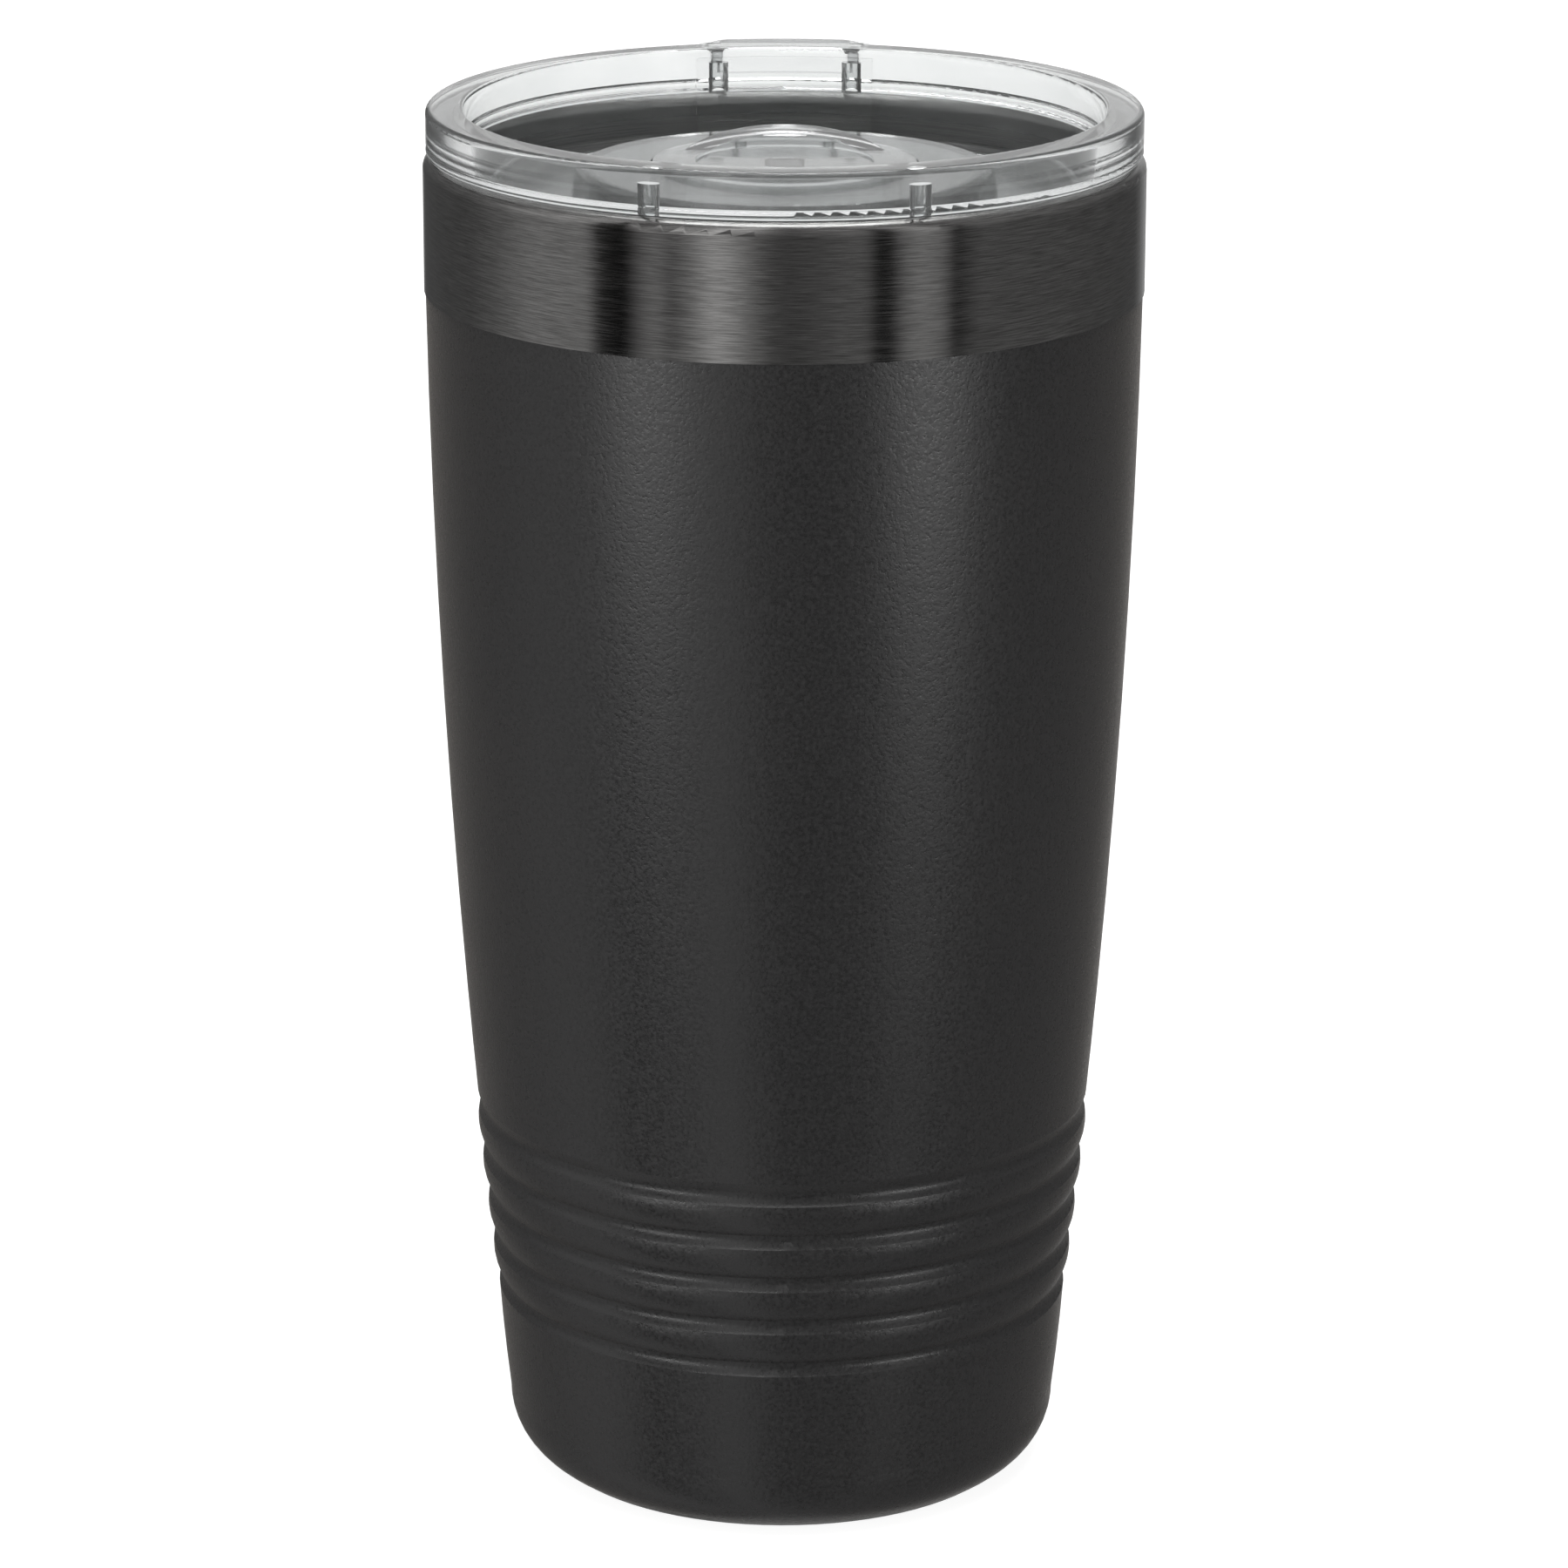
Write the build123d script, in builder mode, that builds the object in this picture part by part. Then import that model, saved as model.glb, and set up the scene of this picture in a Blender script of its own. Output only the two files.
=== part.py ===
"""Insulated tumbler with a press-in lid and a sliding drinking closure.

Frame: millimetres, +Z up, origin on the axis at the level of the surface the tumbler stands on.
+Y is the drinking side of the lid, where its lift tab also is.

The cup is a vacuum vessel: a conical liner inside a ribbed outer shell, joined at a rounded lip.
The base of the shell is closed by a vacuum base, whose vent is sealed by a glass bead and hidden by a cover.
The lid is one clear moulding with a gasket in its plug: a ring, and a trough round a raised island. A slider
with a thumb scoop runs on the island and carries a blade under the trough; pushed 12 mm towards +Y, the
blade's seal covers the drinking hole.
"""

import os
from math import cos, radians, sin, sqrt

from build123d import *

# ---------------------------------------------------------------- driving dimensions
total_height = 175.0

# outer wall of the cup
band_radius = 44.4           # polished band under the lip
band_bottom = 152.4          # height where the powder coat starts
coat_top_radius = 44.2
mid_wall = (42.39, 97.4)     # radius, height: the wall bows gently between the band and the ribs
rib_top_wall = (38.9, 48.6)
rib_count = 4
rib_pitch = 5.8
first_ledge = 45.6           # height of the sharp upper edge of the first rib
ledge_height = 1.7           # height of the hollow slope that leads out of each groove to a rib's edge
groove_depth = 0.46          # from a rib's edge in to the groove above it
edge_radii = (38.75, 38.25, 37.6, 37.0, 36.35)
rib_bulge = 0.45             # how far a rib's face bows past the straight line between its edges
ledge_hollow = 0.25          # how far the slope above an edge is hollowed
low_wall = (35.65, 14.0)
corner_top = (34.98, 8.0)    # where the base corner starts
corner_middle = (33.9, 3.7)
coat_end = (31.35, 0.85)     # the coat stops here, just above the foot
foot_turn = (30.8, 0.38)
foot_outer = 30.1            # outside radius of the ring the tumbler stands on

coat_thickness = 0.12
sheet = 0.6                  # steel sheet

# lip and liner
lip_top = 169.0
weld_z = 166.2               # the lip's turned-in edge is welded to the liner here
mouth_radius = 41.45
mouth_bottom = 157.0
liner_low = (30.45, 24.0)    # inside radius and height where the liner's base is welded on
liner_floor = 11.0
liner_corner = 8.0

# base
foot_inner = 27.2            # inside radius of that ring
foot_upstand = 3.0
cover_bottom = 1.0
vent_radius = 0.6
dimple_radius = 4.0
dimple_rise = 1.2
bead_radius, bead_height = 3.2, 1.0

# lid
lid_radius = 44.0
lid_bottom = 169.3           # underside of the lid's ring, just clear of the lip
lid_top_inner = 39.3
recess_radius = 38.5         # the recess is a trough round a raised island
trough_floor = 163.2
trough_under = 161.5
island_top = 167.1
island_radius = 26.0
island_wall = 1.7
plug_radius = 40.6
plug_bottom = 158.0
plug_inner = 37.4
groove_bottom, groove_top = 158.9, 161.1
groove_radius = 39.2
gasket_radius = 41.2
core_radius, core_top, core_circle = 1.35, 173.0, 42.0
core_angles = (248.2, 291.8, 78.0, 102.0)  # blind core holes in the ring, two at the front and two by the tab

tab_radius = 46.2            # lift tab standing out of the ring
tab_root_half, tab_tip_half = 11.0, 7.2
tab_bottom = 171.2

hole_half_width, hole_inner, hole_outer = 10.0, 28.2, 36.2
pocket_half_width, pocket_radius, pocket_top = 11.2, 39.75, 173.9  # spout pocket in the wall of the recess
pocket_round = 0.45          # the pocket's upright edges are rounded
vent_hole_y = -32.0

# slider
slider_travel = 12.0
slide_gap = 0.15
plate_radius = 16.5
plate_thickness = 0.85
scoop_outer, scoop_inner = 14.0, 11.0
scoop_slope = 0.24           # the scoop's rim rises towards the drinking side by this much per millimetre
scoop_back = 169.3           # height of the rim at the back of the dish
scoop_floor = 167.75
key_half_width = 2.7
stem_width, stem_length = 4.8, 6.0
stem_clearance = 0.3
blade_thickness = 1.3
blade_half_width, blade_back = 12.2, -8.0
blade_end_radius = 36.9      # concentric with the plug once the blade is closed
seal_inset, seal_depth, seal_stand = 0.5, 0.5, 0.05

os.makedirs("parts", exist_ok=True)


def save(builder, label):
    """Labels a finished piece and writes it as one STEP file."""
    builder.part.label = label
    export_step(builder.part, f"parts/{label}.step")


# ---------------------------------------------------------------- outlines
def ledge_z(i):
    return first_ledge - rib_pitch * i


def inward(point, inset, lean):
    """Moves a point of the base corner inwards, square to a surface that leans under by some degrees."""
    return (point[0] - inset * cos(radians(lean)), point[1] + inset * sin(radians(lean)))


def outer_wall(inset):
    """Draws the cup's outer wall from the band's lower edge to the end of the coat, inset by a thickness.

    Returns its first and last points, so that a caller can close its profile.
    """
    start = (coat_top_radius - inset, band_bottom)
    top = (rib_top_wall[0] - inset, rib_top_wall[1])
    ThreePointArc(start, (mid_wall[0] - inset, mid_wall[1]), top)
    groove = (edge_radii[0] - groove_depth - inset, ledge_z(0) + ledge_height)
    Line(top, groove)
    for i in range(rib_count + 1):
        edge = (edge_radii[i] - inset, ledge_z(i))
        hollow = ((groove[0] + edge[0]) / 2 - ledge_hollow, (groove[1] + edge[1]) / 2)
        ThreePointArc(groove, hollow, edge)
        if i < rib_count:
            groove = (edge_radii[i + 1] - groove_depth - inset, ledge_z(i + 1) + ledge_height)
            bow = ((edge[0] + groove[0]) / 2 + rib_bulge, (edge[1] + groove[1]) / 2)
            ThreePointArc(edge, bow, groove)
    corner = inward(corner_top, inset, 5)
    end = inward(coat_end, inset, 48)
    ThreePointArc(edge, inward(low_wall, inset, 5), corner)
    ThreePointArc(corner, inward(corner_middle, inset, 20), end)
    return start, end


def hole_outline(grow, shift=0.0):
    """Draws the drinking hole: straight sides and an outer edge concentric with the lid."""
    half, outer = hole_half_width + grow, hole_outer + grow
    inner_y, side_y = hole_inner - grow - shift, sqrt(outer**2 - half**2) - shift
    Polyline((half, side_y), (half, inner_y), (-half, inner_y), (-half, side_y))
    ThreePointArc((-half, side_y), (0, outer - shift), (half, side_y))


# ---------------------------------------------------------------- the cup
def powder_coat():
    """The baked coat on the shell, from under the polished band to the base corner."""
    with BuildPart() as coat:
        with BuildSketch(Plane.XZ):
            with BuildLine():
                outer_start, outer_end = outer_wall(0)
                inner_start, inner_end = outer_wall(coat_thickness)
                Line(outer_start, inner_start)
                Line(outer_end, inner_end)
            make_face()
        revolve(axis=Axis.Z)
    save(coat, "powder_coat")


def outer_shell():
    """Ribbed steel shell: polished band, rounded lip turned in to the liner, foot and base opening."""
    crest = (mouth_radius + band_radius) / 2
    turn_z = lip_top - (band_radius - mouth_radius) / 2
    with BuildPart() as shell:
        with BuildSketch(Plane.XZ):
            with BuildLine():
                outer_start, outer_end = outer_wall(coat_thickness)
                inner_start, inner_end = outer_wall(coat_thickness + sheet)
                Polyline(outer_start, (band_radius, band_bottom), (band_radius, turn_z))
                step = (band_radius - sheet, band_bottom - sheet)
                Polyline(inner_start, step, (band_radius - sheet, turn_z))
                for inset in (0, sheet):
                    outside, inside = (band_radius - inset, turn_z), (mouth_radius + inset, turn_z)
                    ThreePointArc(outside, (crest, lip_top - inset), inside)
                Polyline(
                    (mouth_radius, turn_z),
                    (mouth_radius, weld_z),
                    (mouth_radius + sheet, weld_z),
                    (mouth_radius + sheet, turn_z),
                )
                outer_turn, inner_turn = (inward(foot_turn, coat_thickness + t, 70) for t in (0, sheet))
                ThreePointArc(outer_end, outer_turn, (foot_outer, 0))
                ThreePointArc(inner_end, inner_turn, (foot_outer, sheet))
                Polyline(
                    (foot_outer, 0),
                    (foot_inner, 0),
                    (foot_inner, foot_upstand),
                    (foot_inner + sheet, foot_upstand),
                    (foot_inner + sheet, sheet),
                    (foot_outer, sheet),
                )
            make_face()
        revolve(axis=Axis.Z)
    save(shell, "outer_shell")


def liner_tube():
    """Inner wall: a cylindrical mouth under the lip and a long cone down to the liner's base."""
    with BuildPart() as tube:
        with BuildSketch(Plane.XZ):
            with BuildLine():
                Polyline(
                    (mouth_radius, weld_z),
                    (mouth_radius, mouth_bottom),
                    liner_low,
                    (liner_low[0] + sheet, liner_low[1]),
                    (mouth_radius + sheet, mouth_bottom),
                    (mouth_radius + sheet, weld_z),
                    close=True,
                )
            make_face()
        revolve(axis=Axis.Z)
    save(tube, "liner_tube")


def liner_base():
    """Dished bottom of the liner, welded to the tube."""
    rim, top = liner_low
    side = rim - 0.4
    flat = side - liner_corner
    turn_z = liner_floor + liner_corner
    with BuildPart() as base:
        with BuildSketch(Plane.XZ):
            with BuildLine():
                Polyline((side, turn_z), (rim, top), (rim + sheet, top), (side + sheet, turn_z))
                RadiusArc((flat, liner_floor), (side, turn_z), -liner_corner)
                RadiusArc((flat, liner_floor - sheet), (side + sheet, turn_z), -(liner_corner + sheet))
                Polyline(
                    (flat, liner_floor),
                    (0, liner_floor),
                    (0, liner_floor - sheet),
                    (flat, liner_floor - sheet),
                )
            make_face()
        revolve(axis=Axis.Z)
    save(base, "liner_base")


def vacuum_base():
    """Disc that closes the vacuum space, with a raised dimple and a vent hole at its centre."""
    low, dimple = foot_upstand, foot_upstand + dimple_rise
    shoulder = dimple_radius + 1.5
    with BuildPart() as disc:
        with BuildSketch(Plane.XZ):
            with BuildLine():
                Polyline(
                    (vent_radius, dimple),
                    (dimple_radius, dimple),
                    (shoulder, low),
                    (foot_inner + sheet, low),
                    (foot_inner + sheet, low + sheet),
                    (shoulder + 0.2, low + sheet),
                    (dimple_radius + 0.2, dimple + sheet),
                    (vent_radius, dimple + sheet),
                    close=True,
                )
            make_face()
        revolve(axis=Axis.Z)
    save(disc, "vacuum_base")


def seal_bead():
    """Glass bead melted into the dimple over the vent hole, a shallow spherical cap."""
    top = foot_upstand + dimple_rise
    cap_radius = (bead_radius**2 + bead_height**2) / (2 * bead_height)
    with BuildPart() as bead:
        with BuildSketch(Plane.XZ):
            with BuildLine():
                Polyline((0, top - bead_height), (0, top), (bead_radius, top))
                RadiusArc((bead_radius, top), (0, top - bead_height), cap_radius)
            make_face()
        revolve(axis=Axis.Z)
    save(bead, "seal_bead")


def base_cover():
    """Pressed steel disc glued into the base opening, a little above the foot."""
    step_in, step_up = 3.0, 0.5
    with BuildPart() as cover:
        with BuildSketch(Plane.XZ):
            with BuildLine():
                Polyline(
                    (0, cover_bottom + step_up),
                    (foot_inner - step_in - 0.8, cover_bottom + step_up),
                    (foot_inner - step_in, cover_bottom),
                    (foot_inner, cover_bottom),
                    (foot_inner, cover_bottom + sheet),
                    (foot_inner - step_in + 0.3, cover_bottom + sheet),
                    (foot_inner - step_in - 0.5, cover_bottom + step_up + sheet),
                    (0, cover_bottom + step_up + sheet),
                    close=True,
                )
            make_face()
        revolve(axis=Axis.Z)
    save(cover, "base_cover")


def getter():
    """Gas-absorbing pill and the spot-welded clip that holds it on the vacuum base."""
    pill_x, pill_radius, pill_height = 15.0, 4.5, 2.0
    seat = foot_upstand + sheet
    with BuildPart() as pill:
        with BuildSketch(Plane.XY.offset(seat)):
            with Locations((pill_x, 0)):
                Circle(pill_radius)
        extrude(amount=pill_height)
        chamfer(pill.edges().filter_by(GeomType.CIRCLE), 0.25)
    save(pill, "getter_pill")

    strip, strip_width, ear = 0.3, 4.0, 3.0
    half = pill_radius + 0.1
    with BuildPart() as clip:
        with BuildSketch(Plane.XZ.offset(-strip_width / 2)):
            with BuildLine():
                Polyline(
                    (pill_x - half - ear, seat),
                    (pill_x - half, seat),
                    (pill_x - half, seat + pill_height),
                    (pill_x + half, seat + pill_height),
                    (pill_x + half, seat),
                    (pill_x + half + ear, seat),
                    (pill_x + half + ear, seat + strip),
                    (pill_x + half + strip, seat + strip),
                    (pill_x + half + strip, seat + pill_height + strip),
                    (pill_x - half - strip, seat + pill_height + strip),
                    (pill_x - half - strip, seat + strip),
                    (pill_x - half - ear, seat + strip),
                    close=True,
                )
            make_face()
        extrude(amount=strip_width)
    save(clip, "getter_clip")


# ---------------------------------------------------------------- the lid
def lid_body():
    """Clear moulding: a ring on the lip, a plug inside the mouth, and a trough round a raised island."""
    floor_round, rim_round, edge_round = 1.2, 0.6, 0.8
    bead_inset, bead_top = 0.3, lid_bottom + 1.05
    bead_start, bead_end = (lid_radius - 0.45, lid_bottom), (lid_radius - bead_inset, bead_top)
    outer_edge, inner_edge = total_height - edge_round, total_height - rim_round
    floor_edge, wall_foot = recess_radius - floor_round, (recess_radius, trough_floor + floor_round)
    with BuildPart() as lid:
        with BuildSketch(Plane.XZ):
            with BuildLine():
                Polyline(
                    (floor_edge, trough_floor),
                    (island_radius + 0.5, trough_floor),
                    (island_radius, island_top - 0.5),
                    (island_radius - 0.5, island_top),
                    (0, island_top),
                    (0, island_top - island_wall),
                    (island_radius - island_wall, island_top - island_wall),
                    (island_radius - island_wall + 0.4, trough_under),
                    (plug_inner, trough_under),
                    (plug_inner, plug_bottom),
                    (plug_radius - 0.6, plug_bottom),
                    (plug_radius, plug_bottom + 0.6),
                    (plug_radius, groove_bottom),
                    (groove_radius, groove_bottom),
                    (groove_radius, groove_top),
                    (plug_radius, groove_top),
                    (plug_radius, lid_bottom),
                    bead_start,
                )
                ThreePointArc(bead_start, (lid_radius, lid_bottom + 0.5), bead_end)
                Polyline(bead_end, (lid_radius, bead_top + 0.25), (lid_radius, outer_edge))
                RadiusArc((lid_radius, outer_edge), (lid_radius - edge_round, total_height), -edge_round)
                Line((lid_radius - edge_round, total_height), (lid_top_inner + rim_round, total_height))
                RadiusArc((lid_top_inner + rim_round, total_height), (lid_top_inner, inner_edge), -rim_round)
                Line((lid_top_inner, inner_edge), wall_foot)
                RadiusArc(wall_foot, (floor_edge, trough_floor), floor_round)
            make_face()
        revolve(axis=Axis.Z)

        # lift tab: a tongue that blends out of the ring
        root = (tab_root_half, sqrt(lid_radius**2 - tab_root_half**2))
        tip = (tab_tip_half, sqrt(tab_radius**2 - tab_tip_half**2))
        with BuildSketch(Plane.XY.offset(tab_bottom)):
            with BuildLine():
                for side in (1, -1):
                    Spline(
                        (side * root[0], root[1]),
                        (side * tip[0], tip[1]),
                        tangents=[(-side * root[1], root[0]), (-side * tip[1], tip[0])],
                    )
                ThreePointArc(tip, (0, tab_radius), (-tip[0], tip[1]))
                ThreePointArc(root, (0, lid_radius - 0.9), (-root[0], root[1]))
            make_face()
        extrude(amount=total_height - tab_bottom)

        # spout pocket: the wall of the recess is cut back beside the drinking hole
        side_y = sqrt(pocket_radius**2 - pocket_half_width**2)
        with BuildSketch(Plane.XY.offset(trough_floor)):
            with BuildLine():
                Polyline(
                    (pocket_half_width, side_y),
                    (pocket_half_width - 1.0, hole_outer - 2.0),
                    (1.0 - pocket_half_width, hole_outer - 2.0),
                    (-pocket_half_width, side_y),
                )
                ThreePointArc((pocket_half_width, side_y), (0, pocket_radius), (-pocket_half_width, side_y))
            make_face()
        extrude(amount=pocket_top - trough_floor, mode=Mode.SUBTRACT)
        cheeks = [
            edge
            for edge in lid.edges()
            if edge.bounding_box().size.Z > 6
            and abs(abs(edge.center().X) - pocket_half_width) < 1.0
            and 36.0 < edge.center().Y < 37.9
        ]
        fillet(cheeks, pocket_round)

        # drinking hole and air vent through the trough, stem slot through the island
        with BuildSketch(Plane.XY.offset(trough_under - 0.5)) as cuts:
            with BuildLine():
                hole_outline(0)
            make_face()
            fillet(cuts.vertices(), 1.8)
            with Locations((0, vent_hole_y)):
                Circle(1.1)
        extrude(amount=trough_floor - trough_under + 1.0, mode=Mode.SUBTRACT)
        with BuildSketch(Plane.XY.offset(island_top - island_wall - 0.5)):
            with Locations((0, slider_travel / 2)):
                RectangleRounded(
                    stem_width + 2 * stem_clearance, stem_length + slider_travel + 2 * stem_clearance, 1.2
                )
        extrude(amount=island_wall + 1.0, mode=Mode.SUBTRACT)

        # blind core holes in the ring's underside
        with BuildSketch(Plane.XY.offset(lid_bottom)):
            for angle in core_angles:
                with Locations((core_circle * cos(radians(angle)), core_circle * sin(radians(angle)))):
                    Circle(core_radius)
        extrude(amount=core_top - lid_bottom, mode=Mode.SUBTRACT)
    save(lid, "lid_body")


def lid_gasket():
    """Silicone ring in the plug's groove, with two lips towards the mouth."""
    seat, back = groove_radius, plug_radius - 0.1
    low, high = groove_bottom + 0.1, groove_top - 0.1
    quarter = (high - low) / 4
    with BuildPart() as gasket:
        with BuildSketch(Plane.XZ):
            with BuildLine():
                Polyline(
                    (seat, low),
                    (back, low),
                    (gasket_radius, low + quarter * 1.1),
                    (gasket_radius, low + quarter * 1.4),
                    (back, low + quarter * 1.8),
                    (back, low + quarter * 2.2),
                    (gasket_radius, low + quarter * 3.3),
                    (gasket_radius, low + quarter * 3.6),
                    (back, high),
                    (seat, high),
                    close=True,
                )
            make_face()
        revolve(axis=Axis.Z)
    save(gasket, "lid_gasket")


# ---------------------------------------------------------------- the slider
def slider():
    """Clear thumb piece: a round plate with a tilted scoop, and a stem down through the lid's slot."""
    under = island_top + slide_gap
    top = under + plate_thickness
    blade_top = trough_under - slide_gap
    with BuildPart() as rim:
        with BuildSketch(Plane.XY.offset(under)):
            Circle(scoop_outer)
        extrude(amount=5.0)
        split(bisect_by=Plane((0, scoop_inner, scoop_back), z_dir=(0, -scoop_slope, 1)), keep=Keep.BOTTOM)
        fillet(rim.edges().filter_by(GeomType.ELLIPSE), 0.3)

    with BuildPart() as thumb:
        with BuildSketch(Plane.XY.offset(under)):
            Circle(plate_radius)
        extrude(amount=plate_thickness)
        chamfer(thumb.edges().group_by(Axis.Z)[-1], 0.3)
        add(rim.part)
        # the dish, with a key left standing at the back of its wall
        with BuildSketch(Plane.XY.offset(scoop_floor)):
            Circle(scoop_inner)
            with Locations((0, scoop_inner)):
                Rectangle(2 * key_half_width, 1.6, mode=Mode.SUBTRACT)
        extrude(amount=4.0, mode=Mode.SUBTRACT)
        # stem
        with BuildSketch(Plane.XY.offset(under)):
            RectangleRounded(stem_width, stem_length, 0.9)
        extrude(amount=-(under - blade_top + blade_thickness))
    save(thumb, "slider")


def slider_blade():
    """Flat plate under the trough, snapped onto the stem, with a silicone pad set into its end."""
    blade_top = trough_under - slide_gap
    side_y = sqrt(blade_end_radius**2 - blade_half_width**2) - slider_travel
    with BuildPart() as blade:
        with BuildSketch(Plane.XY.offset(blade_top)) as outline:
            with BuildLine():
                Polyline(
                    (blade_half_width, side_y),
                    (blade_half_width, blade_back),
                    (-blade_half_width, blade_back),
                    (-blade_half_width, side_y),
                )
                end = (0, blade_end_radius - slider_travel)
                ThreePointArc((blade_half_width, side_y), end, (-blade_half_width, side_y))
            make_face()
            fillet(outline.vertices().group_by(Axis.Y)[0], 4.0)
            RectangleRounded(stem_width, stem_length, 0.9, mode=Mode.SUBTRACT)
        extrude(amount=-blade_thickness)
        with BuildSketch(Plane.XY.offset(blade_top)) as pocket:
            with BuildLine():
                hole_outline(seal_inset, slider_travel)
            make_face()
            fillet(pocket.vertices(), 2.0)
        extrude(amount=-seal_depth, mode=Mode.SUBTRACT)
    save(blade, "slider_blade")

    with BuildPart() as seal:
        with BuildSketch(Plane.XY.offset(blade_top + seal_stand)) as pad:
            with BuildLine():
                hole_outline(seal_inset, slider_travel)
            make_face()
            fillet(pad.vertices(), 2.0)
        extrude(amount=-(seal_depth + seal_stand))
    save(seal, "slider_seal")


powder_coat()
outer_shell()
liner_tube()
liner_base()
vacuum_base()
seal_bead()
base_cover()
getter()
lid_body()
lid_gasket()
slider()
slider_blade()
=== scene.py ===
import math

import bpy
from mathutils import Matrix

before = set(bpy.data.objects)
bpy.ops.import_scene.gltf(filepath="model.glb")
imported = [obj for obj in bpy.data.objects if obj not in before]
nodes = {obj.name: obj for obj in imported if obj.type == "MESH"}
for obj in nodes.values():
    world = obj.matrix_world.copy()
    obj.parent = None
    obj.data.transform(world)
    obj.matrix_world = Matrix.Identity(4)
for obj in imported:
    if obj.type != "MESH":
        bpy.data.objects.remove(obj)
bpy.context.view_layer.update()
print("frame loaded:", len(nodes), "nodes")

mm = 0.001


def colour(hexCode):
    parts = [int(hexCode[i:i + 2], 16) / 255 for i in (0, 2, 4)]
    linear = [c / 12.92 if c <= 0.04045 else ((c + 0.055) / 1.055) ** 2.4 for c in parts]
    return (*linear, 1)


def newMaterial(name):
    material = bpy.data.materials.new(name)
    material.use_nodes = True
    material.node_tree.nodes.clear()
    return material, material.node_tree


# adds a node, sets its properties and inputs, and links what is given as (node, output);
# an input is named with _ for a space, or by its number as i0, i1 and so on
def addNode(tree, kind, settings=None, **inputs):
    node = tree.nodes.new(kind)
    for key, value in (settings or {}).items():
        setattr(node, key, value)
    for key, value in inputs.items():
        numbered = key[0] == "i" and key[1:].isdigit()
        socket = node.inputs[int(key[1:]) if numbered else key.replace("_", " ")]
        if isinstance(value, tuple) and len(value) == 2 and hasattr(value[0], "outputs"):
            tree.links.new(value[0].outputs[value[1]], socket)
        else:
            socket.default_value = value
    return node


def dress(nodeNames, material):
    for name in nodeNames:
        nodes[name].data.materials.clear()
        nodes[name].data.materials.append(material)


# powder coat: sprayed polyester powder baked to a matt film, with orange peel and a fine grain
powder = {
    "base": "1a1a1b",
    "dust": "201f1f",
    "driftMm": 25,             # slow change of tone over the wall
    "grainMm": 0.45,           # real grain is near 0.1 mm, drawn coarser so that it shows
    "grainDepthMm": 0.05,
    "grainStrength": 0.8,
    "peelMm": 1.5,
    "peelDepthMm": 0.03,
    "peelStrength": 0.6,
    "speckle": (0.75, 1.3),    # the tone is times this in the grain's hollows and on its tops
    "roughness": (0.24, 0.42),
    "sheen": 0.12,
    "sheenRoughness": 0.35,
    "sheenTint": "dcd2c8",
    "ior": 1.5,
}


def powderCoat():
    material, tree = newMaterial("powderCoatedSteel")
    place = addNode(tree, "ShaderNodeTexCoord")
    grain = addNode(tree, "ShaderNodeTexNoise", Vector=(place, "Object"),
                    Scale=1 / (powder["grainMm"] * mm), Detail=2.0, Roughness=0.6)
    peel = addNode(tree, "ShaderNodeTexNoise", Vector=(place, "Object"),
                   Scale=1 / (powder["peelMm"] * mm), Detail=1.0, Roughness=0.4)
    drift = addNode(tree, "ShaderNodeTexNoise", Vector=(place, "Object"),
                    Scale=1 / (powder["driftMm"] * mm), Detail=3.0)
    tone = addNode(tree, "ShaderNodeMixRGB", Fac=(drift, "Fac"), Color1=colour(powder["base"]),
                   Color2=colour(powder["dust"]))
    low, high = powder["speckle"]
    speckle = addNode(tree, "ShaderNodeMapRange", Value=(grain, "Fac"), i1=0.35, i2=0.7, i3=low, i4=high)
    toned = addNode(tree, "ShaderNodeMixRGB", {"blend_type": "MULTIPLY"}, Fac=1.0,
                    Color1=(tone, "Color"), Color2=(speckle, "Result"))
    smooth, coarse = powder["roughness"]
    rough = addNode(tree, "ShaderNodeMapRange", Value=(grain, "Fac"), i1=0.3, i2=0.7, i3=smooth, i4=coarse)
    peelBump = addNode(tree, "ShaderNodeBump", Height=(peel, "Fac"), Strength=powder["peelStrength"],
                       Distance=powder["peelDepthMm"] * mm)
    grainBump = addNode(tree, "ShaderNodeBump", Height=(grain, "Fac"), Strength=powder["grainStrength"],
                        Distance=powder["grainDepthMm"] * mm, Normal=(peelBump, "Normal"))
    shader = addNode(tree, "ShaderNodeBsdfPrincipled", Base_Color=(toned, "Color"),
                     Roughness=(rough, "Result"), Normal=(grainBump, "Normal"), IOR=powder["ior"],
                     Sheen_Weight=powder["sheen"], Sheen_Roughness=powder["sheenRoughness"],
                     Sheen_Tint=colour(powder["sheenTint"]))
    addNode(tree, "ShaderNodeOutputMaterial", Surface=(shader, "BSDF"))
    return material


# brushed steel: belt-ground round the part, so the scratches run round the axis
# and the highlights stretch up and down; the shell was tinted dark after brushing
shellSteel = {
    "base": "6c6b6a", "tint": "929190", "roughness": 0.2, "radiusMm": 44, "scratchMm": 0.12,
    "lengthMm": 4, "depthMm": 0.004, "anisotropy": 0.96, "streak": 0.05,
}
linerSteel = {
    "base": "6f6d6b", "tint": "8b8987", "roughness": 0.32, "radiusMm": 40, "scratchMm": 0.18,
    "lengthMm": 24, "depthMm": 0.006, "anisotropy": 0.7, "streak": 0.08,
}
baseSteel = {
    "base": "a6a4a0", "tint": "bab8b4", "roughness": 0.3, "radiusMm": 25, "scratchMm": 0.2,
    "lengthMm": 12, "depthMm": 0.006, "anisotropy": 0.5, "streak": 0.08,
}
brushing = {
    "cloudMm": 18,             # patches where the belt bit more or less
    "smoother": 0.06,          # roughness runs from this much less
    "rougher": 0.07,           # to this much more across the scratches
    "strength": 0.6,
    "turn": 0.25,              # a quarter turn lays the highlight across the scratches
}


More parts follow.
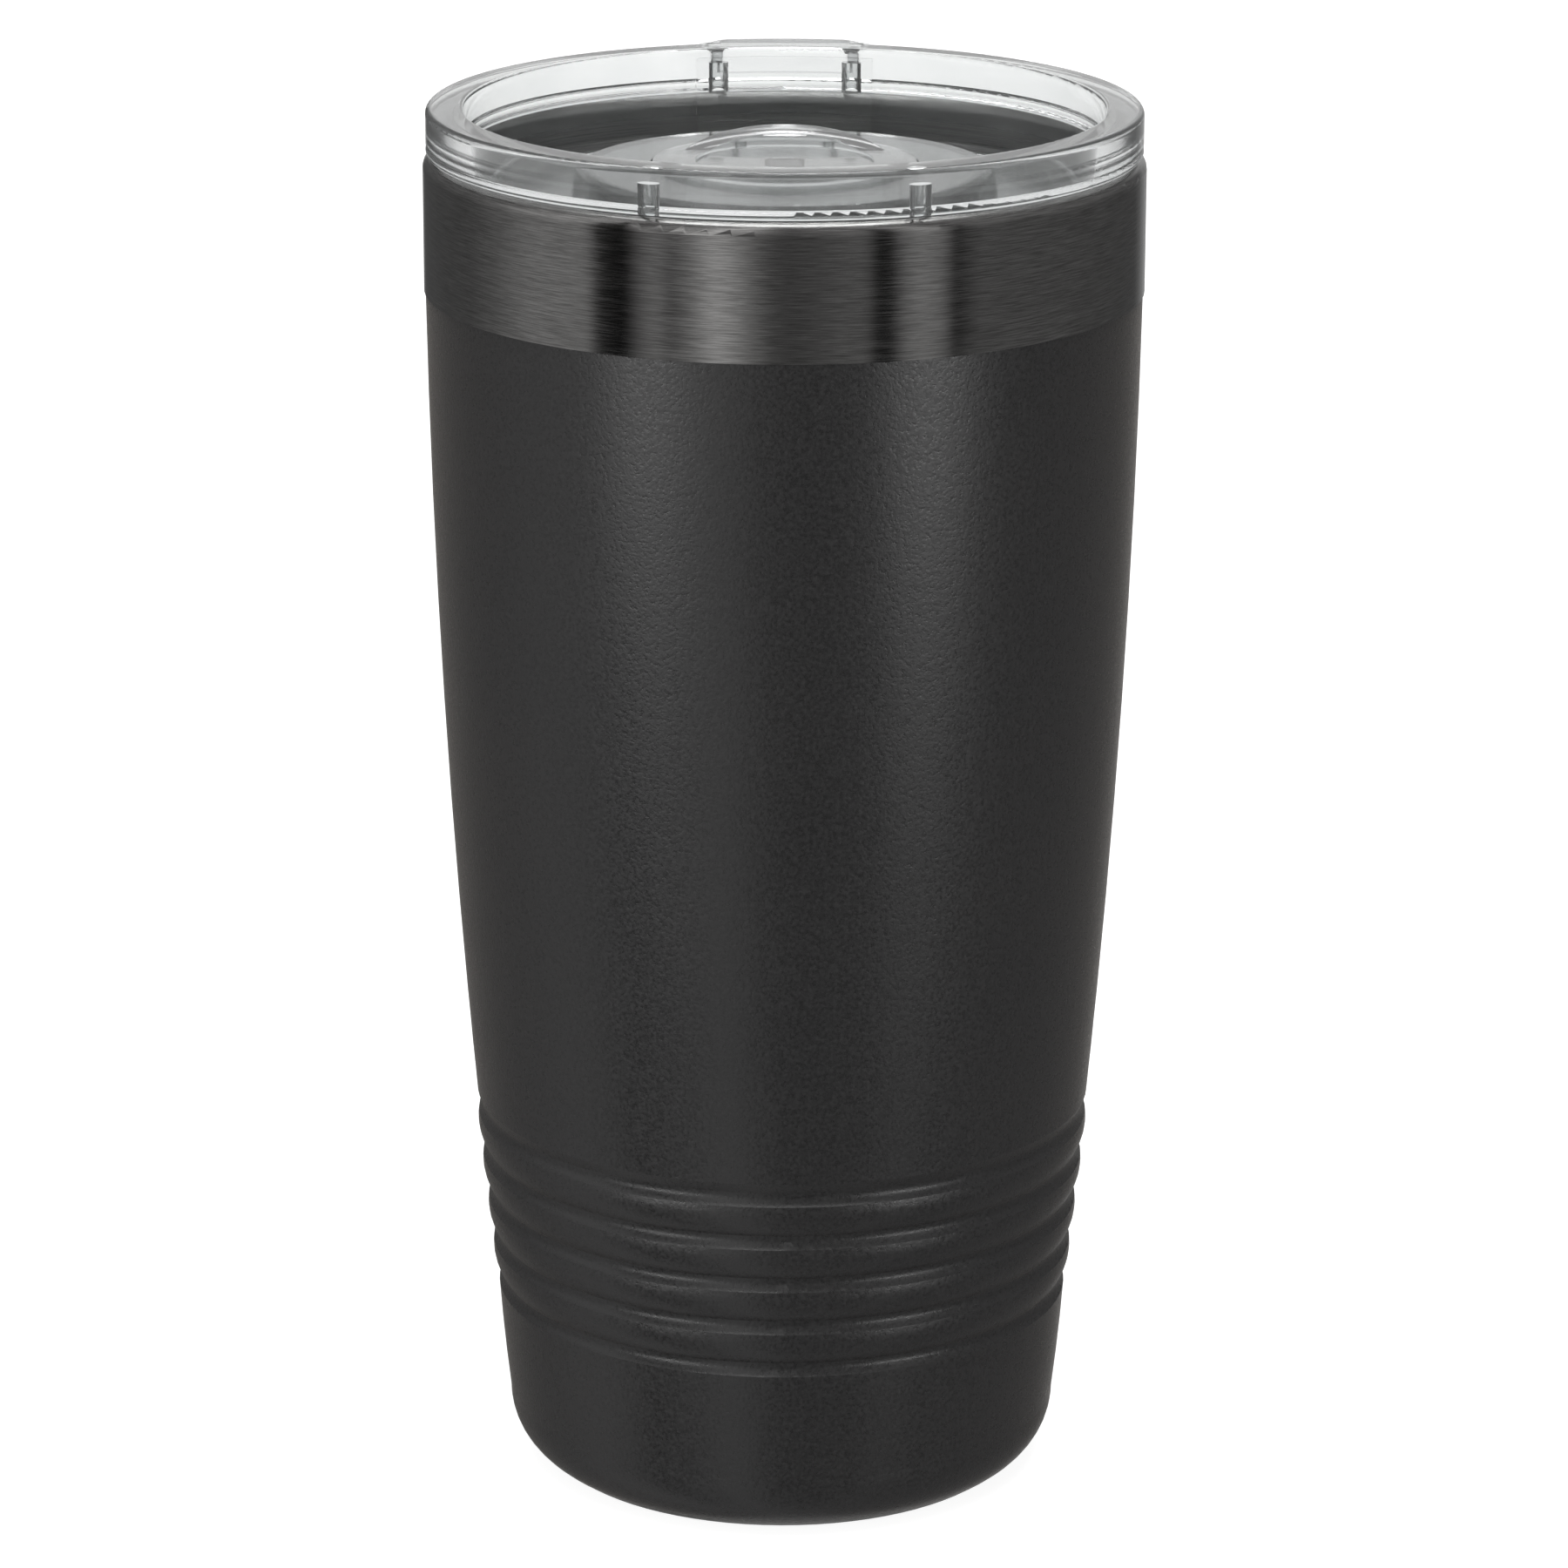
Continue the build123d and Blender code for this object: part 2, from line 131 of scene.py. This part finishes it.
def brushedSteel(name, steel):
    material, tree = newMaterial(name)
    place = addNode(tree, "ShaderNodeTexCoord")
    split = addNode(tree, "ShaderNodeSeparateXYZ", Vector=(place, "Object"))
    angle = addNode(tree, "ShaderNodeMath", {"operation": "ARCTAN2"}, i0=(split, "Y"), i1=(split, "X"))
    cosine = addNode(tree, "ShaderNodeMath", {"operation": "COSINE"}, i0=(angle, "Value"))
    sine = addNode(tree, "ShaderNodeMath", {"operation": "SINE"}, i0=(angle, "Value"))
    turns = steel["radiusMm"] / steel["lengthMm"]
    across = addNode(tree, "ShaderNodeMath", {"operation": "MULTIPLY"}, i0=(cosine, "Value"), i1=turns)
    along = addNode(tree, "ShaderNodeMath", {"operation": "MULTIPLY"}, i0=(sine, "Value"), i1=turns)
    up = addNode(tree, "ShaderNodeMath", {"operation": "MULTIPLY"}, i0=(split, "Z"),
                 i1=1 / (steel["scratchMm"] * mm))
    join = addNode(tree, "ShaderNodeCombineXYZ", X=(across, "Value"), Y=(along, "Value"), Z=(up, "Value"))
    scratch = addNode(tree, "ShaderNodeTexNoise", Vector=(join, "Vector"), Scale=1.0, Detail=3.0,
                      Roughness=0.7)
    cloud = addNode(tree, "ShaderNodeTexNoise", Vector=(place, "Object"),
                    Scale=1 / (brushing["cloudMm"] * mm), Detail=3.0)
    mixFac = addNode(tree, "ShaderNodeMapRange", Value=(scratch, "Fac"), i1=0.35, i2=0.65, i3=0.0, i4=1.0)
    tone = addNode(tree, "ShaderNodeMixRGB", Fac=(mixFac, "Result"), Color1=colour(steel["base"]),
                   Color2=colour(steel["tint"]))
    cloudTone = addNode(tree, "ShaderNodeMapRange", Value=(cloud, "Fac"), i1=0.3, i2=0.7,
                        i3=1 - steel["streak"], i4=1 + steel["streak"] / 2)
    toned = addNode(tree, "ShaderNodeMixRGB", {"blend_type": "MULTIPLY"}, Fac=1.0,
                    Color1=(tone, "Color"), Color2=(cloudTone, "Result"))
    rough = addNode(tree, "ShaderNodeMapRange", Value=(scratch, "Fac"), i1=0.3, i2=0.7,
                    i3=steel["roughness"] - brushing["smoother"],
                    i4=steel["roughness"] + brushing["rougher"])
    bump = addNode(tree, "ShaderNodeBump", Height=(scratch, "Fac"), Strength=brushing["strength"],
                   Distance=steel["depthMm"] * mm)
    tangent = addNode(tree, "ShaderNodeTangent", {"direction_type": "RADIAL", "axis": "Z"})
    shader = addNode(tree, "ShaderNodeBsdfPrincipled", Base_Color=(toned, "Color"),
                     Roughness=(rough, "Result"), Metallic=1.0, Normal=(bump, "Normal"),
                     Tangent=(tangent, "Tangent"), Anisotropic=steel["anisotropy"],
                     Anisotropic_Rotation=brushing["turn"])
    addNode(tree, "ShaderNodeOutputMaterial", Surface=(shader, "BSDF"))
    return material


# clear lid plastic: injection-moulded copolyester from a polished tool, with faint flow in the wall
lidPlastic = {"tint": "d9dcdc", "roughness": 0.04, "rippleDepthMm": 0.01}
sliderPlastic = {"tint": "eef0f0", "roughness": 0.06, "rippleDepthMm": 0.008}
moulding = {
    "pale": "eeefef",
    "clear": 0.95,
    "ior": 1.54,
    "rippleMm": 9.0,
    "rippleStrength": 0.5,
    "rougher": 0.04,           # roughness rises by this where the flow ripples
}


def clearMoulding(name, plastic):
    material, tree = newMaterial(name)
    place = addNode(tree, "ShaderNodeTexCoord")
    ripple = addNode(tree, "ShaderNodeTexNoise", Vector=(place, "Object"),
                     Scale=1 / (moulding["rippleMm"] * mm), Detail=2.0)
    rough = addNode(tree, "ShaderNodeMapRange", Value=(ripple, "Fac"), i1=0.3, i2=0.7,
                    i3=plastic["roughness"], i4=plastic["roughness"] + moulding["rougher"])
    tone = addNode(tree, "ShaderNodeMixRGB", Fac=(ripple, "Fac"), Color1=colour(plastic["tint"]),
                   Color2=colour(moulding["pale"]))
    bump = addNode(tree, "ShaderNodeBump", Height=(ripple, "Fac"), Strength=moulding["rippleStrength"],
                   Distance=plastic["rippleDepthMm"] * mm)
    shader = addNode(tree, "ShaderNodeBsdfPrincipled", Base_Color=(tone, "Color"),
                     Roughness=(rough, "Result"), Normal=(bump, "Normal"), IOR=moulding["ior"],
                     Transmission_Weight=moulding["clear"])
    addNode(tree, "ShaderNodeOutputMaterial", Surface=(shader, "BSDF"))
    return material


# silicone: compression-moulded and translucent, with a matt blasted skin
rubber = {
    "base": "c9c9c5", "pale": "dededb", "skinMm": 0.4, "skinDepthMm": 0.01, "skinStrength": 0.4,
    "roughness": 0.5, "ior": 1.42, "clear": 0.35,
}


def silicone():
    material, tree = newMaterial("mouldedSilicone")
    place = addNode(tree, "ShaderNodeTexCoord")
    skin = addNode(tree, "ShaderNodeTexNoise", Vector=(place, "Object"),
                   Scale=1 / (rubber["skinMm"] * mm), Detail=2.0)
    tone = addNode(tree, "ShaderNodeMixRGB", Fac=(skin, "Fac"), Color1=colour(rubber["base"]),
                   Color2=colour(rubber["pale"]))
    bump = addNode(tree, "ShaderNodeBump", Height=(skin, "Fac"), Strength=rubber["skinStrength"],
                   Distance=rubber["skinDepthMm"] * mm)
    shader = addNode(tree, "ShaderNodeBsdfPrincipled", Base_Color=(tone, "Color"),
                     Roughness=rubber["roughness"], Normal=(bump, "Normal"), IOR=rubber["ior"],
                     Transmission_Weight=rubber["clear"])
    addNode(tree, "ShaderNodeOutputMaterial", Surface=(shader, "BSDF"))
    return material


# melted solder glass: dark amber with a smooth fired skin
bead = {"dark": "2a1d10", "amber": "5a4022", "swirlMm": 1.5, "roughness": 0.12, "ior": 1.6}


def solderGlass():
    material, tree = newMaterial("firedSolderGlass")
    place = addNode(tree, "ShaderNodeTexCoord")
    swirl = addNode(tree, "ShaderNodeTexNoise", Vector=(place, "Object"),
                    Scale=1 / (bead["swirlMm"] * mm), Detail=3.0)
    tone = addNode(tree, "ShaderNodeMixRGB", Fac=(swirl, "Fac"), Color1=colour(bead["dark"]),
                   Color2=colour(bead["amber"]))
    shader = addNode(tree, "ShaderNodeBsdfPrincipled", Base_Color=(tone, "Color"),
                     Roughness=bead["roughness"], IOR=bead["ior"])
    addNode(tree, "ShaderNodeOutputMaterial", Surface=(shader, "BSDF"))
    return material


# getter pill: pressed zirconium and titanium powder, dull and slightly porous
getter = {
    "dark": "5c5a57", "pale": "8b8985", "grainMm": 0.25, "poreDepthMm": 0.03, "poreStrength": 0.5,
    "roughness": 0.65, "metal": 0.7,
}


def pressedPowder():
    material, tree = newMaterial("pressedMetalPowder")
    place = addNode(tree, "ShaderNodeTexCoord")
    grains = addNode(tree, "ShaderNodeTexVoronoi", Vector=(place, "Object"),
                     Scale=1 / (getter["grainMm"] * mm))
    tone = addNode(tree, "ShaderNodeMixRGB", Fac=(grains, "Distance"), Color1=colour(getter["dark"]),
                   Color2=colour(getter["pale"]))
    bump = addNode(tree, "ShaderNodeBump", Height=(grains, "Distance"), Strength=getter["poreStrength"],
                   Distance=getter["poreDepthMm"] * mm)
    shader = addNode(tree, "ShaderNodeBsdfPrincipled", Base_Color=(tone, "Color"),
                     Roughness=getter["roughness"], Metallic=getter["metal"], Normal=(bump, "Normal"))
    addNode(tree, "ShaderNodeOutputMaterial", Surface=(shader, "BSDF"))
    return material


dress(["powder_coat"], powderCoat())
dress(["outer_shell"], brushedSteel("tintedBrushedSteel", shellSteel))
dress(["liner_tube", "liner_base"], brushedSteel("linerBrushedSteel", linerSteel))
dress(["vacuum_base", "base_cover", "getter_clip"], brushedSteel("baseBrushedSteel", baseSteel))
dress(["lid_body"], clearMoulding("clearLidPlastic", lidPlastic))
dress(["slider", "slider_blade"], clearMoulding("clearSliderPlastic", sliderPlastic))
dress(["lid_gasket", "slider_seal"], silicone())
dress(["seal_bead"], solderGlass())
dress(["getter_pill"], pressedPowder())
print("materials made:", len(bpy.data.materials))

# floor: pale seamless paper that glows a little, so that the tumbler throws almost no shadow on it
paper = {
    "size": 6.0,
    "height": -0.1 * mm,       # clear of the standing ring
    "colour": "a0a09f",
    "roughness": 0.9,
    "glow": 0.9,
    "glowColour": "ffffff",
}


def makeFloor():
    bpy.ops.mesh.primitive_plane_add(size=paper["size"], location=(0, 0, paper["height"]))
    floor = bpy.context.object
    floor.name = "floor"
    floor.visible_glossy = False
    material, tree = newMaterial("paleSeamlessPaper")
    shader = addNode(tree, "ShaderNodeBsdfPrincipled", Base_Color=colour(paper["colour"]),
                     Roughness=paper["roughness"], Emission_Color=colour(paper["glowColour"]),
                     Emission_Strength=paper["glow"])
    side = addNode(tree, "ShaderNodeNewGeometry")
    gap = addNode(tree, "ShaderNodeBsdfTransparent")
    mix = addNode(tree, "ShaderNodeMixShader", Fac=(side, "Backfacing"), i1=(shader, "BSDF"),
                  i2=(gap, "BSDF"))  # clear from below, so that the underside shows
    addNode(tree, "ShaderNodeOutputMaterial", Surface=(mix, "Shader"))
    floor.data.materials.append(material)
    return floor


floor = makeFloor()
print("floor laid")

# world: a ring of soft panels with dark gaps, hidden from the camera and from what shows through the lid;
# the stops go by direction in degrees: 0 is the camera's side, 90 is +X, 180 is behind
panels = [
    (-180, 0.5), (-171, 0.5), (-166, 0.1), (-118, 0.19), (-100, 0.36), (-88, 0.56), (-65, 0.58),
    (-61, 0.03), (-51, 0.0), (-46, 0.35), (-41, 0.55), (-36, 0.22), (-30, 0.5), (-22, 1.1), (-17, 0.85),
    (-10, 0.42), (-4, 0.2), (2, 0.16), (12, 0.22), (26, 0.33), (29, 0.03), (34, 0.02), (38, 0.4),
    (44, 0.62), (51, 0.5), (55, 0.04), (60, 0.15), (64, 0.24), (98, 0.23), (150, 0.12), (171, 0.5),
    (180, 0.5),
]
ring = {
    "boost": 1.7,              # the panels' brightness is this times the values above
    "lowSlope": -0.15,         # the upward part of the direction where the panels' fade ends
    "highSlope": 0.35,         # and where it starts
    "low": 0.5,                # the panels are times this below the fade
    "high": 1.0,               # and times this above it
}


def makeWorld():
    world = bpy.data.worlds.new("studio")
    bpy.context.scene.world = world
    world.use_nodes = True
    tree = world.node_tree
    tree.nodes.clear()
    place = addNode(tree, "ShaderNodeTexCoord")
    split = addNode(tree, "ShaderNodeSeparateXYZ", Vector=(place, "Generated"))
    swap = addNode(tree, "ShaderNodeMath", {"operation": "MULTIPLY"}, i0=(split, "Y"), i1=-1.0)
    angle = addNode(tree, "ShaderNodeMath", {"operation": "ARCTAN2"}, i0=(split, "X"), i1=(swap, "Value"))
    turn = addNode(tree, "ShaderNodeMapRange", Value=(angle, "Value"), i1=-math.pi, i2=math.pi,
                   i3=0.0, i4=1.0)
    ramp = addNode(tree, "ShaderNodeValToRGB", Fac=(turn, "Result"))
    stops = ramp.color_ramp.elements
    while len(stops) < len(panels):
        stops.new(0.5)
    for stop, (degrees, value) in zip(stops, panels):
        stop.position = 0.5 + degrees / 360
        stop.color = (value, value, value, 1)
    height = addNode(tree, "ShaderNodeMapRange", Value=(split, "Z"), i1=ring["lowSlope"],
                     i2=ring["highSlope"], i3=ring["low"], i4=ring["high"])
    shaped = addNode(tree, "ShaderNodeMixRGB", {"blend_type": "MULTIPLY"}, Fac=1.0,
                     Color1=(ramp, "Color"), Color2=(height, "Result"))
    rays = addNode(tree, "ShaderNodeLightPath")
    seen = addNode(tree, "ShaderNodeMath", {"operation": "MAXIMUM"}, i0=(rays, "Is Camera Ray"),
                   i1=(rays, "Is Transmission Ray"))
    white = 1 / ring["boost"]
    mix = addNode(tree, "ShaderNodeMixRGB", Fac=(seen, "Value"), Color1=(shaped, "Color"),
                  Color2=(white, white, white, 1))
    back = addNode(tree, "ShaderNodeBackground", Color=(mix, "Color"), Strength=ring["boost"])
    addNode(tree, "ShaderNodeOutputWorld", Surface=(back, "Background"))


makeWorld()
print("world made:", len(panels), "stops")

# softboxes, in metres and watts; one with nodes lights only those nodes, and nothing else shades them
strip = {"distance": 1.2, "height": -0.01, "size": (0.5, 0.3), "power": 2.2}


def stripPlace(degrees):
    turned = math.radians(degrees)
    return (strip["distance"] * math.sin(turned), -strip["distance"] * math.cos(turned), strip["height"])


softboxes = [
    {"name": "overhead", "place": (0, 0.1, 1.4), "size": (1.2, 1.2), "power": 16.0, "glossy": False,
     "nodes": []},
    {"name": "coatTop", "place": (0, -0.2, 1.4), "size": (1.2, 1.2), "power": 9.0, "glossy": True,
     "nodes": ["powder_coat"]},
    {"name": "lidTop", "place": (0, 0.45, 1.25), "size": (0.5, 0.3), "power": 1.6, "glossy": True,
     "nodes": ["lid_body", "slider"]},
    {"name": "leftStrip", "place": stripPlace(-44), "size": strip["size"], "power": strip["power"],
     "glossy": True, "nodes": ["powder_coat"]},
    {"name": "rightStrip", "place": stripPlace(46), "size": strip["size"], "power": strip["power"],
     "glossy": True, "nodes": ["powder_coat"]},
]


def addSoftbox(box):
    data = bpy.data.lights.new(box["name"], "AREA")
    data.shape = "RECTANGLE"
    data.size, data.size_y = box["size"]
    data.energy = box["power"]
    light = bpy.data.objects.new(box["name"], data)
    bpy.context.collection.objects.link(light)
    light.location = box["place"]
    light.rotation_euler = (-light.location).to_track_quat("-Z", "Y").to_euler()
    light.visible_glossy = box["glossy"]
    light.visible_camera = False
    if box["nodes"]:
        receivers = bpy.data.collections.new(box["name"] + "Receivers")
        for name in box["nodes"]:
            receivers.objects.link(nodes[name])
        light.light_linking.receiver_collection = receivers
        light.light_linking.blocker_collection = receivers


for box in softboxes:
    addSoftbox(box)
print("softboxes hung:", len(softboxes))

# camera: 783 mm in front of the axis and 320 mm up
view = {
    "place": (0, -783 * mm, 320 * mm),
    "pitch": 16.49,            # degrees down
    "roll": 0.16,
    "sensorMm": 36,
    "lensMm": 148.56,
    "shift": 0.0007,
    "clip": (0.05, 20),
}
camera = bpy.data.objects.new("camera", bpy.data.cameras.new("camera"))
bpy.context.collection.objects.link(camera)
camera.location = view["place"]
camera.rotation_mode = "ZYX"
camera.rotation_euler = (math.radians(90 - view["pitch"]), 0, math.radians(view["roll"]))
camera.data.sensor_width = view["sensorMm"]
camera.data.lens = view["lensMm"]
camera.data.shift_x = view["shift"]
camera.data.clip_start, camera.data.clip_end = view["clip"]
bpy.context.scene.camera = camera
bpy.context.scene.view_settings.view_transform = "Standard"
print("camera set")
